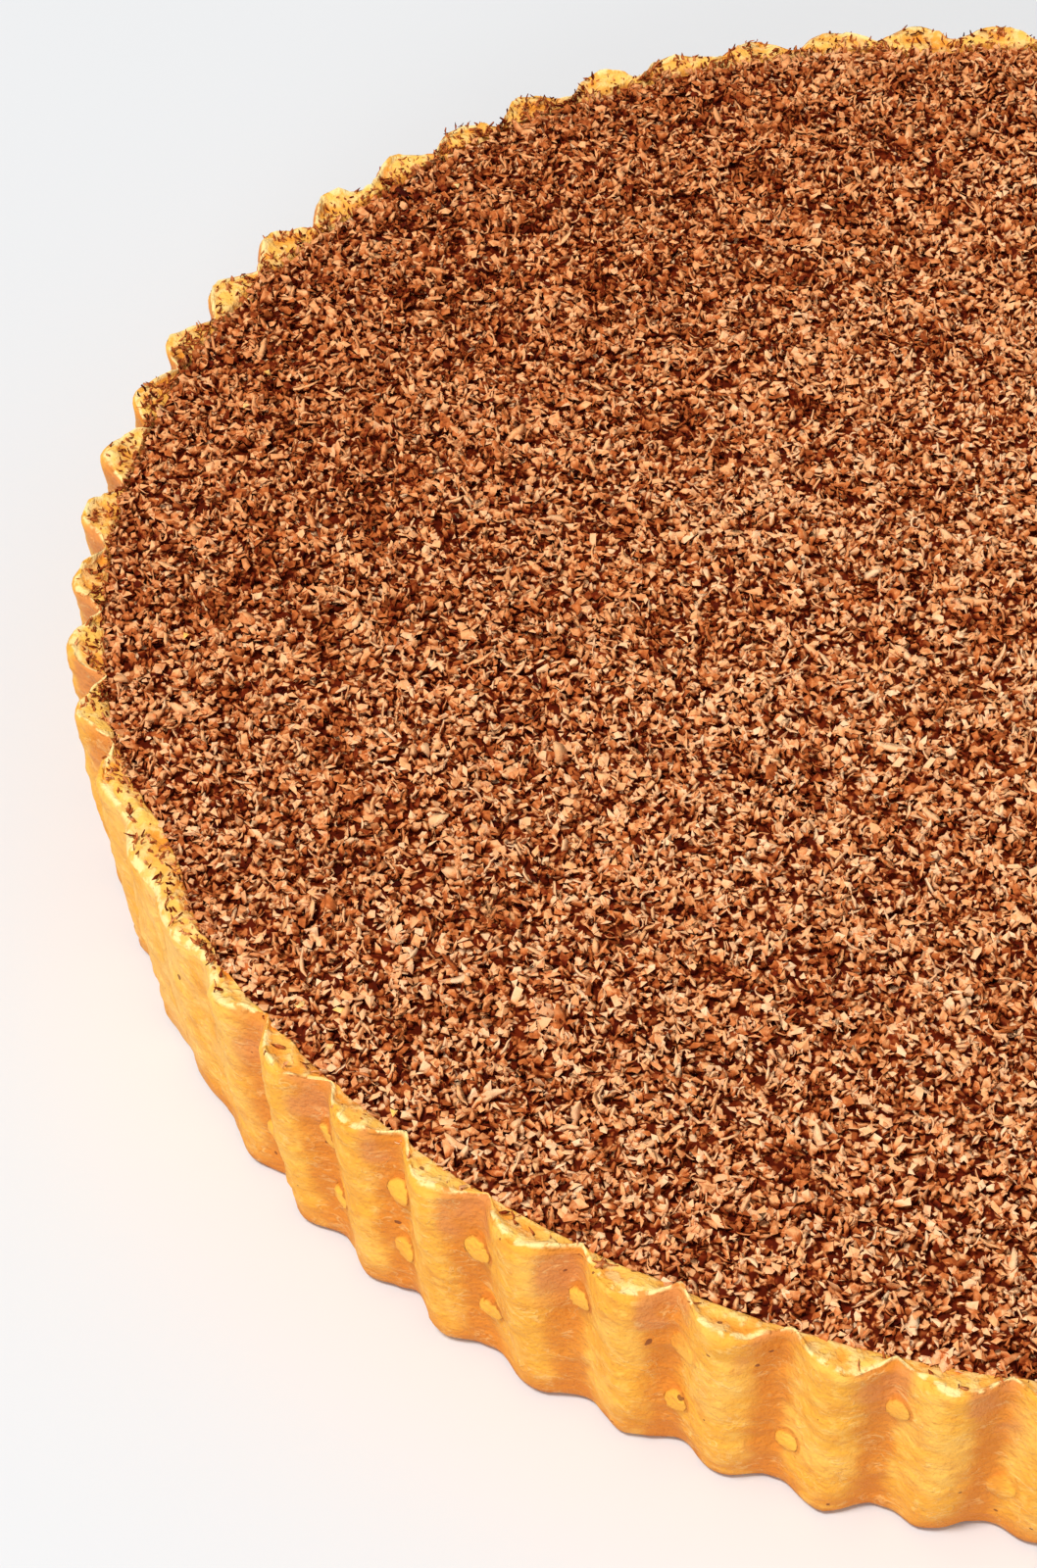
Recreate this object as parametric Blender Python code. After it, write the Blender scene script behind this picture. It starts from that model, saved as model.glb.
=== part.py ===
"""Chocolate tart: a baked fluted pastry case, solid inside, under a layer of grated chocolate.

Units are metres and +Z is up.  The origin is the middle of the flat underside.
"""
import math
import random

import bmesh
import bpy
from mathutils import Vector
from mathutils.geometry import delaunay_2d_cdt

# --- The case: driving sizes -------------------------------------------------
FLUTES = 64                      # scallops round the wall, as the tin has them
FIRST_CREST = math.radians(1.54)
RIM_VALLEY_RADIUS = 0.1230       # outside of the wall at the rim, between two crests
RIM_FLUTE_DEPTH = 0.0035
BASE_VALLEY_RADIUS = 0.1194      # outside of the wall at the base, between two crests
BASE_FLUTE_DEPTH = 0.0021
CASE_HEIGHT = 0.0309             # underside to the lip
BASE_ROUNDING = 0.0018
WALL_BELLY = 0.0004              # how far the middle of the wall stands out of its straight line

# --- The rim -----------------------------------------------------------------
LIP_DROP = 0.0009                # from the lip down to where the wall begins
LIP_INSET = 0.0007               # from the wall in to the lip
RIM_INNER_RADIUS = 0.1222        # where the rim's top ends and the chocolate begins
RIM_FALL = 0.0010                # the rim's top slopes down towards the chocolate
RECESS_DEPTH = 0.0062            # below the rim, down to the solid inside
RECESS_LEAN = 0.0016

# Stretches where the rim is broader: (angle in degrees, half width in degrees, extra width).
BROAD_STRETCHES = ((204.0, 5.0, 0.0024), (97.0, 2.6, 0.0016), (146.0, 9.0, 0.0007), (318.0, 6.0, 0.0010))

# The stretch where the dough sagged in the tin: its flutes are nearly flat and its lip is rolled.
SAG_MIDDLE = 207.0               # degrees
SAG_HALF_WIDTH = 8.5             # degrees
SAG_FLATTENING = 0.75            # share of the flutes' depth that is lost
SAG_LIP_DROP = 0.0014
SAG_LIP_INSET = 0.0016

# --- Hand-made unevenness ------------------------------------------------------
OUTLINE_WANDER = 0.0007          # slow in-and-out of the whole outline
HEIGHT_WANDER = 0.0005
FLUTE_DEPTH_WANDER = 0.16        # share of the flute's depth
FLUTE_PLACE_WANDER = 0.30        # radians of a flute's own turn
SLOW_TURNS = (2, 3, 4, 6)
QUICK_TURNS = (5, 11, 17, 23, 29)

# --- The chocolate -------------------------------------------------------------
GAP = 0.0003
CHOCOLATE_CROWN = 0.0016         # the middle stands this much above the chocolate's edge
CHOCOLATE_LUMPS = 0.0007
LUMP_SPREAD = (0.022, 0.060)     # shortest and longest distance from one lump to the next
CROWN_WIDTH = 0.011              # how far in from the edge the chocolate reaches its full height

# --- Fineness --------------------------------------------------------------------
COLUMNS_PER_FLUTE = 6
CHOCOLATE_COLUMNS = 192
TOP_SPACING = 0.0086             # between the points of the chocolate's uneven top

PASTRY_COLOUR = (0.83, 0.47, 0.10, 1.0)
CHOCOLATE_COLOUR = (0.24, 0.095, 0.04, 1.0)
PASTRY_ROUGHNESS = 0.62
CHOCOLATE_ROUGHNESS = 0.5


def wander(angle, seed, turns):
    """Return a smooth closed wave between -1 and 1 that is uneven round the whole turn."""
    draw = random.Random(seed)
    waves = [(count, draw.uniform(0.5, 1.0), draw.uniform(0.0, math.tau)) for count in turns]
    total = sum(size * math.sin(count * angle + start) for count, size, start in waves)
    return total / sum(size for _, size, _ in waves)


def sag(angle):
    """Return how far the dough sagged at this angle, between 0 and 1."""
    away = (math.degrees(angle) - SAG_MIDDLE + 180.0) % 360.0 - 180.0
    return math.exp(-((away / SAG_HALF_WIDTH) ** 4))


def flute(angle, sharpness):
    """Return the scallop at this angle: 1 on a crest, 0 in a valley; low sharpness cuts a V valley."""
    slip = FLUTE_PLACE_WANDER * wander(angle, 7, QUICK_TURNS)
    phase = FLUTES * (angle - FIRST_CREST) + slip
    depth = 1.0 + FLUTE_DEPTH_WANDER * wander(angle, 8, QUICK_TURNS)
    flat = SAG_FLATTENING * sag(angle)
    return depth * ((1.0 - flat) * abs(math.cos(phase / 2)) ** sharpness + 0.45 * flat)


def outer_radius(angle, height):
    """Return the wall's outside radius at an angle and a height above the underside."""
    rise = height / CASE_HEIGHT
    valley = BASE_VALLEY_RADIUS + rise * (RIM_VALLEY_RADIUS - BASE_VALLEY_RADIUS)
    depth = BASE_FLUTE_DEPTH + rise * (RIM_FLUTE_DEPTH - BASE_FLUTE_DEPTH)
    sharpness = 2.0 - 0.7 * rise
    belly = WALL_BELLY * math.sin(math.pi * rise)
    return valley + belly + depth * flute(angle, sharpness) + OUTLINE_WANDER * wander(angle, 1, SLOW_TURNS)


def lip_height(angle):
    """Return the height of the lip, which rises and dips a little round the case."""
    slow = 0.6 * wander(angle, 2, SLOW_TURNS)
    quick = 0.4 * wander(angle, 3, QUICK_TURNS)
    return CASE_HEIGHT + HEIGHT_WANDER * (slow + quick)


def rim_inner_radius(angle):
    """Return where the rim's top ends and the chocolate begins."""
    extra = 0.0
    for middle, half_width, width in BROAD_STRETCHES:
        away = (math.degrees(angle) - middle + 180.0) % 360.0 - 180.0
        extra += width * math.exp(-((away / half_width) ** 2))
    slow = OUTLINE_WANDER * (0.6 * wander(angle, 1, SLOW_TURNS) + 0.4 * wander(angle, 4, (5, 7, 9)))
    return RIM_INNER_RADIUS + slow - extra


def lumps(x, y):
    """Return the uneven height of the loose chocolate, between about -1 and 1."""
    draw = random.Random(21)
    total = 0.0
    for _ in range(7):
        heading = draw.uniform(0.0, math.tau)
        wavelength = draw.uniform(*LUMP_SPREAD)
        start = draw.uniform(0.0, math.tau)
        total += math.sin(math.tau * (x * math.cos(heading) + y * math.sin(heading)) / wavelength + start)
    return total / 4.0


def ring(mesh, columns, radius_at, height_at):
    """Add one closed ring of points; radius_at and height_at take the angle."""
    points = []
    for column in range(columns):
        angle = math.tau * column / columns
        radius = radius_at(angle)
        points.append(mesh.verts.new((radius * math.cos(angle), radius * math.sin(angle), height_at(angle))))
    return points


def join(mesh, rings):
    """Join rings that run from the underside up, over and in."""
    for below, above in zip(rings, rings[1:]):
        for column in range(len(below)):
            beside = (column + 1) % len(below)
            mesh.faces.new((below[column], below[beside], above[beside], above[column]))


def shape_case(mesh):
    """Build the case: underside, base rounding, fluted wall, lip, sloping rim top and recess."""
    columns = FLUTES * COLUMNS_PER_FLUTE
    rings = []
    for drop, inset in ((1.0, 1.0), (0.7, 0.3), (0.0, 0.0)):
        height = BASE_ROUNDING * (1.0 - drop)
        rings.append(ring(mesh, columns,
                          lambda a: outer_radius(a, BASE_ROUNDING) - BASE_ROUNDING * inset,
                          lambda a: height))
    middle = CASE_HEIGHT / 2
    rings.append(ring(mesh, columns, lambda a: outer_radius(a, middle), lambda a: middle))
    rings.append(ring(mesh, columns,
                      lambda a: outer_radius(a, CASE_HEIGHT - LIP_DROP),
                      lambda a: lip_height(a) - LIP_DROP - SAG_LIP_DROP * sag(a)))
    rings.append(ring(mesh, columns,
                      lambda a: outer_radius(a, CASE_HEIGHT) - LIP_INSET - SAG_LIP_INSET * sag(a),
                      lip_height))
    rings.append(ring(mesh, columns, rim_inner_radius, lambda a: lip_height(a) - RIM_FALL))
    rings.append(ring(mesh, columns,
                      lambda a: rim_inner_radius(a) - RECESS_LEAN,
                      lambda a: CASE_HEIGHT - RECESS_DEPTH))
    join(mesh, rings)
    mesh.faces.new(reversed(rings[0]))
    mesh.faces.new(rings[-1])


def chocolate_height(angle, radius):
    """Return the top of the grated chocolate at a place."""
    edge = rim_inner_radius(angle)
    rise = min(1.0, (edge - radius) / CROWN_WIDTH)
    crown = CHOCOLATE_CROWN * rise * (2.0 - rise)
    uneven = CHOCOLATE_LUMPS * rise * lumps(radius * math.cos(angle), radius * math.sin(angle))
    return lip_height(angle) * (1.0 - rise) + CASE_HEIGHT * rise - RIM_FALL + crown + uneven


def inside_points():
    """Return evenly spread points, in staggered rows, well inside the chocolate's outline."""
    points = []
    row_step = TOP_SPACING * math.sqrt(3) / 2
    rows = math.ceil(RIM_INNER_RADIUS / row_step)
    for row in range(-rows, rows + 1):
        stagger = TOP_SPACING / 2 * (row % 2)
        for step in range(-rows, rows + 1):
            point = Vector((TOP_SPACING * step + stagger, row_step * row))
            angle = math.atan2(point.y, point.x) % math.tau
            if point.length < rim_inner_radius(angle) - GAP - TOP_SPACING / 2:
                points.append(point)
    return points


def shape_chocolate(mesh):
    """Build the topping: its underside, its edge beside the rim and its uneven top."""
    under = ring(mesh, CHOCOLATE_COLUMNS,
                 lambda a: rim_inner_radius(a) - RECESS_LEAN - GAP,
                 lambda a: CASE_HEIGHT - RECESS_DEPTH + GAP)
    edge = ring(mesh, CHOCOLATE_COLUMNS,
                lambda a: rim_inner_radius(a) - GAP,
                lambda a: chocolate_height(a, rim_inner_radius(a) - GAP))
    join(mesh, (under, edge))
    mesh.faces.new(reversed(under))
    top = list(edge)
    flat = [vertex.co.xy for vertex in edge]
    for point in inside_points():
        height = chocolate_height(math.atan2(point.y, point.x) % math.tau, point.length)
        top.append(mesh.verts.new((point.x, point.y, height)))
        flat.append(point)
    sides = [(column, (column + 1) % len(edge)) for column in range(len(edge))]
    for face in delaunay_2d_cdt(flat, sides, [], 1, 1e-7)[2]:
        mesh.faces.new([top[corner] for corner in face])


def finish(name, colour, roughness):
    """Return a plain finish."""
    material = bpy.data.materials.new(name)
    material.use_nodes = True
    surface = material.node_tree.nodes["Principled BSDF"]
    surface.inputs["Base Color"].default_value = colour
    surface.inputs["Roughness"].default_value = roughness
    return material


def add_piece(name, shape, material):
    """Make one closed, smoothly shaded object; shape is the function that builds its mesh."""
    mesh = bmesh.new()
    shape(mesh)
    data = bpy.data.meshes.new(name)
    mesh.to_mesh(data)
    mesh.free()
    data.materials.append(material)
    data.shade_smooth()
    data.set_sharp_from_angle(angle=math.radians(50))
    piece = bpy.data.objects.new(name, data)
    bpy.context.collection.objects.link(piece)
    return piece


def centre(pieces, guide):
    """Move the pieces together so that the guide's outline is centred on the origin."""
    xs = [vertex.co.x for vertex in guide.data.vertices]
    ys = [vertex.co.y for vertex in guide.data.vertices]
    middle = ((min(xs) + max(xs)) / 2, (min(ys) + max(ys)) / 2)
    for piece in pieces:
        piece.location.x = -middle[0]
        piece.location.y = -middle[1]


def main():
    """Build the tart."""
    for old in list(bpy.data.objects):
        bpy.data.objects.remove(old)
    case = add_piece("pastry_case", shape_case, finish("pastry", PASTRY_COLOUR, PASTRY_ROUGHNESS))
    topping = add_piece("grated_chocolate", shape_chocolate,
                        finish("chocolate", CHOCOLATE_COLOUR, CHOCOLATE_ROUGHNESS))
    centre((case, topping), case)


main()
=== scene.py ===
"""Chocolate tart: a baked, fluted pastry case under a thick layer of grated milk chocolate.

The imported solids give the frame.  This script makes the fine surface: the case with the marks that
the holes of its baking tin left, its crumbly lip and browning, and every flake of chocolate.
Units are metres, +Z is up and the tart stands on Z = 0.
"""

import functools
import itertools
import logging
import math
import random
from collections.abc import Sequence
from dataclasses import dataclass
from enum import Enum, IntEnum

import bpy
import numpy as np
from mathutils import Matrix


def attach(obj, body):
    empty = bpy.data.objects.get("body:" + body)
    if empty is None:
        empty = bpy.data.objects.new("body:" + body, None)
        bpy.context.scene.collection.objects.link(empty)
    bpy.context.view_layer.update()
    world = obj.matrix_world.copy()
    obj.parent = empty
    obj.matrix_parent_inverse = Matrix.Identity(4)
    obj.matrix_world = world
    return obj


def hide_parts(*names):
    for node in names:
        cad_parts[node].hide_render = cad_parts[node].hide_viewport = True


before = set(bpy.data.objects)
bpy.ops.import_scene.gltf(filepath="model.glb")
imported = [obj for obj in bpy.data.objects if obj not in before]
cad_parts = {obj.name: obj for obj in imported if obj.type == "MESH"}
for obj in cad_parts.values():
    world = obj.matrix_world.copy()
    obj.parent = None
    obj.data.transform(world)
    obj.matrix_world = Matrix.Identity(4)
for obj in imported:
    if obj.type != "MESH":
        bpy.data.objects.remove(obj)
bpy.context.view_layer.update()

log = logging.getLogger("chocolate_tart")

MILLIMETRE = 0.001
WELD = MILLIMETRE / 500
TURN = math.tau
Array = np.ndarray
Colour = tuple[float, float, float, float]
Piece = bpy.types.Object
Socket = bpy.types.NodeSocket
Effects = dict[str, bpy.types.NodeTree]


class Draw(IntEnum):
    """Which set of random numbers each uneven thing on the tart takes."""

    OUTLINE = 1
    LIP_SLOW = 2
    LIP_QUICK = 3
    INNER_RIM = 4
    FLUTE_PLACE = 7
    FLUTE_DEPTH = 8
    LUMPS = 21
    MARKS = 31
    WALL_FOLDS = 40
    WALL_GRAIN = 41
    WALL_WAVES = 42
    RIM_SIDES = 43
    FINE_CRUMBLE = 44
    CRUMBLE = 45
    RIM_SWELL = 46
    FINE_EDGE = 47
    RAGGED_EDGE = 48
    HOLLOW = 49
    BED = 51
    FINE_BED = 52
    DARK_PATCHES = 61
    SPILL = 62
    FLAKES = 100


# --- Shared shaping helpers ---

ROUGH_VALUES = 16384
SPREAD_X, SPREAD_Y, SPREAD_Z = 73856093, 19349663, 83492791


def wander(angle: Array, seed: int, turns: tuple[int, ...]) -> Array:
    """Return a smooth closed wave that is uneven round the whole turn.

    Args:
        angle: Angles in radians.
        seed: Which wave to draw.
        turns: How many times each part of the wave repeats in one turn.

    Returns:
        Values between -1 and 1.
    """
    draw = random.Random(seed)
    waves = [(count, draw.uniform(0.5, 1.0), draw.uniform(0.0, TURN)) for count in turns]
    total = sum(size * np.sin(count * angle + start) for count, size, start in waves)
    return total / sum(size for _, size, _ in waves)


def rough(places: Array, size: float, seed: int) -> Array:
    """Return smooth random values at places in space.

    Args:
        places: One row of three coordinates for each place.
        size: How far apart the random values lie.
        seed: Which set of values to draw.

    Returns:
        Values between -1 and 1, one for each place.
    """
    table = np.random.default_rng(seed).uniform(-1.0, 1.0, ROUGH_VALUES)
    grid = places / size
    cell = np.floor(grid).astype(np.int64)
    along = grid - cell
    along = along * along * (3.0 - 2.0 * along)
    total = np.zeros(len(places))
    for corner in itertools.product((0, 1), repeat=3):
        x, y, z = (cell + np.array(corner)).T
        key = (x * SPREAD_X ^ y * SPREAD_Y ^ z * SPREAD_Z) % len(table)
        weight = np.prod(np.where(corner, along, 1.0 - along), axis=1)
        total += weight * table[key]
    return total


def ease(value: Array) -> Array:
    """Return 0 below 0, 1 above 1 and a smooth step between."""
    held = np.clip(value, 0.0, 1.0)
    return held * held * (3.0 - 2.0 * held)


def around(angle: Array, radius: Array, height: Array) -> Array:
    """Return points in space from their angles, radii and heights."""
    return np.stack([radius * np.cos(angle), radius * np.sin(angle), height], axis=1)


def degrees_past(angle: Array, middle: float) -> Array:
    """Return how far angles lie past a middle, between -180 and 180 degrees."""
    return (np.degrees(angle) - middle + 180.0) % 360.0 - 180.0


def clear_selection() -> None:
    """Leave nothing selected, so that the next operator acts on its own primitive alone."""
    bpy.ops.object.select_all(action="DESELECT")


def read_points(mesh: bpy.types.Mesh) -> Array:
    """Read where a mesh's points are.

    Args:
        mesh: The mesh.

    Returns:
        Rows of x, y and z.
    """
    points = np.empty(len(mesh.vertices) * 3)
    mesh.vertices.foreach_get("co", points)
    return points.reshape(-1, 3)


def write_points(mesh: bpy.types.Mesh, points: Array) -> None:
    """Put points back into a mesh."""
    mesh.vertices.foreach_set("co", points.ravel())
    mesh.update()


def paint(mesh: bpy.types.Mesh, name: str, values: Array) -> None:
    """Keep one number for each point under a name that materials can read."""
    layer = mesh.attributes.new(name, "FLOAT", "POINT")
    layer.data.foreach_set("value", np.ascontiguousarray(values, dtype=np.float32))


def face_outwards() -> None:
    """Turn all faces of the piece in hand outwards and leave edit mode."""
    bpy.ops.mesh.select_all(action="SELECT")
    bpy.ops.mesh.normals_make_consistent(inside=False)
    bpy.ops.object.mode_set(mode="OBJECT")


def turn_about(angle: float, axis: str, pivot: Sequence[float] = (0.0, 0.0, 0.0)) -> None:
    """Turn what is selected in edit mode about an axis through a point."""
    bpy.ops.transform.rotate(value=angle, orient_axis=axis, center_override=tuple(pivot))


def stretch_about(factors: tuple[float, float, float], pivot: Sequence[float] = (0.0, 0.0, 0.0)) -> None:
    """Stretch what is selected in edit mode away from a point."""
    bpy.ops.transform.resize(value=factors, center_override=tuple(pivot))


def turn_up(name: str, profile: list[tuple[float, float]], steps: int) -> Piece:
    """Model a turned piece: draw its profile point by point and sweep it round the upright axis.

    Args:
        name: The piece's name.
        profile: Radius and height of each point, from the middle of the underside, round the
            outside, to the middle of the top.
        steps: How many columns the turned piece has.

    Returns:
        The piece, closed and with its faces outwards.
    """
    clear_selection()
    bpy.ops.mesh.primitive_plane_add(size=MILLIMETRE, location=(0.0, 0.0, 0.0))
    piece = bpy.context.object
    piece.name = name
    piece.data.name = name
    bpy.ops.object.mode_set(mode="EDIT")
    bpy.ops.mesh.merge(type="CENTER")
    radius, height = 0.0, 0.0
    for next_radius, next_height in profile:
        step = (next_radius - radius, 0.0, next_height - height)
        if (radius, height) == (next_radius, next_height):
            continue
        bpy.ops.mesh.extrude_region_move(TRANSFORM_OT_translate={"value": step})
        radius, height = next_radius, next_height
    bpy.ops.object.mode_set(mode="OBJECT")
    sweep = piece.modifiers.new("turn", "SCREW")
    sweep.angle = TURN
    sweep.steps = sweep.render_steps = steps
    sweep.use_merge_vertices = True
    sweep.merge_threshold = WELD
    bpy.ops.object.modifier_apply(modifier="turn")
    bpy.ops.object.mode_set(mode="EDIT")
    bpy.ops.mesh.select_all(action="SELECT")
    bpy.ops.mesh.remove_doubles(threshold=WELD)
    face_outwards()
    return piece


# --- The tart's form ---

@dataclass(frozen=True)
class TartForm:
    """The tart's true form, the same as its solids have."""

    flutes: int = 64
    first_crest: float = math.radians(1.54)
    rim_valley: float = 0.1230
    rim_flute: float = 0.0035
    base_valley: float = 0.1194
    base_flute: float = 0.0021
    height: float = 0.0309
    base_rounding: float = 0.0018
    belly: float = 0.0004
    lip_drop: float = 0.0009
    lip_inset: float = 0.0007
    rim_inner: float = 0.1222
    rim_fall: float = 0.0010
    soft_fall: float = 0.0006
    recess_depth: float = 0.0062
    recess_lean: float = 0.0016
    broad_stretches: tuple[tuple[float, float, float], ...] = (
        (204.0, 5.0, 0.0024), (97.0, 2.6, 0.0016), (146.0, 9.0, 0.0007), (318.0, 6.0, 0.0010))
    sag_middle: float = 207.0
    sag_half_width: float = 8.5
    sag_flattening: float = 0.75
    sag_lip_drop: float = 0.0014
    sag_lip_inset: float = 0.0016
    outline_wander: float = 0.0007
    height_wander: float = 0.0005
    flute_depth_wander: float = 0.16
    flute_place_wander: float = 0.30
    slow_turns: tuple[int, ...] = (2, 3, 4, 6)
    quick_turns: tuple[int, ...] = (5, 11, 17, 23, 29)
    rim_turns: tuple[int, ...] = (5, 7, 9)
    slow_share: float = 0.6
    valley_sharpness: float = 2.0
    rim_sharpness_loss: float = 0.7
    sagged_flute: float = 0.45
    crown: float = 0.0016
    crown_width: float = 0.011
    lump_height: float = 0.0007
    lump_spread: tuple[float, float] = (0.022, 0.060)
    lump_waves: int = 7
    lump_levelling: float = 4.0
    solid_columns: int = 384

    def phase(self, angle: Array) -> Array:
        """Return where an angle lies in the run of flutes; whole turns are crests."""
        slip = self.flute_place_wander * wander(angle, Draw.FLUTE_PLACE, self.quick_turns)
        return self.flutes * (angle - self.first_crest) + slip

    def sag(self, angle: Array) -> Array:
        """Return how far the dough sagged in the tin, between 0 and 1."""
        return np.exp(-((degrees_past(angle, self.sag_middle) / self.sag_half_width) ** 4))

    def flute_depth(self, angle: Array, height: Array | float) -> Array:
        """Return how far the wall stands out past its valleys, at angles and heights.

        Args:
            angle: Angles in radians.
            height: Heights above the underside.

        Returns:
            The scallops' depths; they are V-shaped near the rim and nearly flat where the dough sagged.
        """
        rise = height / self.height
        sharpness = self.valley_sharpness - self.rim_sharpness_loss * rise
        uneven = 1.0 + self.flute_depth_wander * wander(angle, Draw.FLUTE_DEPTH, self.quick_turns)
        flat = self.sag_flattening * self.sag(angle)
        scallop = np.abs(np.cos(self.phase(angle) / 2)) ** sharpness
        depth = self.base_flute + rise * (self.rim_flute - self.base_flute)
        return depth * (uneven * ((1.0 - flat) * scallop + self.sagged_flute * flat))

    def outer_radius(self, angle: Array, height: Array | float) -> Array:
        """Return the wall's outside radius.

        Args:
            angle: Angles in radians.
            height: Heights above the underside.

        Returns:
            The radii.
        """
        rise = height / self.height
        valley = self.base_valley + rise * (self.rim_valley - self.base_valley)
        belly = self.belly * np.sin(math.pi * rise)
        slow = self.outline_wander * wander(angle, Draw.OUTLINE, self.slow_turns)
        return valley + belly + self.flute_depth(angle, height) + slow

    def lip_height(self, angle: Array) -> Array:
        """Return the height of the lip, which rises and dips a little round the case.

        Args:
            angle: Angles in radians.

        Returns:
            The heights.
        """
        slow = self.slow_share * wander(angle, Draw.LIP_SLOW, self.slow_turns)
        quick = (1.0 - self.slow_share) * wander(angle, Draw.LIP_QUICK, self.quick_turns)
        return self.height + self.height_wander * (slow + quick)

    def inner_radius(self, angle: Array) -> Array:
        """Return where the rim's top ends and the chocolate begins.

        Args:
            angle: Angles in radians.

        Returns:
            The radii.
        """
        extra = np.zeros_like(angle)
        for middle, half_width, width in self.broad_stretches:
            extra += width * np.exp(-((degrees_past(angle, middle) / half_width) ** 2))
        slow = self.slow_share * wander(angle, Draw.OUTLINE, self.slow_turns)
        quick = (1.0 - self.slow_share) * wander(angle, Draw.INNER_RIM, self.rim_turns)
        return self.rim_inner + self.outline_wander * (slow + quick) - extra

    def lumps(self, x: Array, y: Array) -> Array:
        """Return the uneven height of the loose chocolate, between about -1 and 1.

        Args:
            x: Places across the tart.
            y: Places from its front to its back.

        Returns:
            One value for each place.
        """
        draw = random.Random(Draw.LUMPS)
        total = np.zeros_like(x)
        for _ in range(self.lump_waves):
            heading = draw.uniform(0.0, TURN)
            wavelength = draw.uniform(*self.lump_spread)
            start = draw.uniform(0.0, TURN)
            along = x * math.cos(heading) + y * math.sin(heading)
            total += np.sin(TURN * along / wavelength + start)
        return total / self.lump_levelling

    def chocolate_top(self, angle: Array, radius: Array) -> Array:
        """Return the top of the grated chocolate.

        Args:
            angle: Angles in radians.
            radius: Distances from the middle.

        Returns:
            Heights above the underside.
        """
        rise = np.clip((self.inner_radius(angle) - radius) / self.crown_width, 0.0, 1.0)
        edge = self.lip_height(angle) * (1.0 - rise) + self.height * rise - self.rim_fall
        lumps = self.lumps(radius * np.cos(angle), radius * np.sin(angle))
        return edge + self.crown * rise * (2.0 - rise) + self.lump_height * rise * lumps

    def middle(self) -> tuple[float, float]:
        """Return the middle of the solid's outline, which its frame puts on the origin.

        Returns:
            Its x and y.
        """
        angle = TURN * np.arange(self.solid_columns) / self.solid_columns
        radius = self.outer_radius(angle, self.height - self.lip_drop)
        x, y = radius * np.cos(angle), radius * np.sin(angle)
        return (x.min() + x.max()) / 2, (y.min() + y.max()) / 2

    def place(self, mesh: bpy.types.Mesh) -> None:
        """Move a finished mesh so that the tart's outline is centred as its solids are."""
        mesh.transform(Matrix.Translation((-self.middle()[0], -self.middle()[1], 0.0)))


# --- Finishes ---

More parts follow.
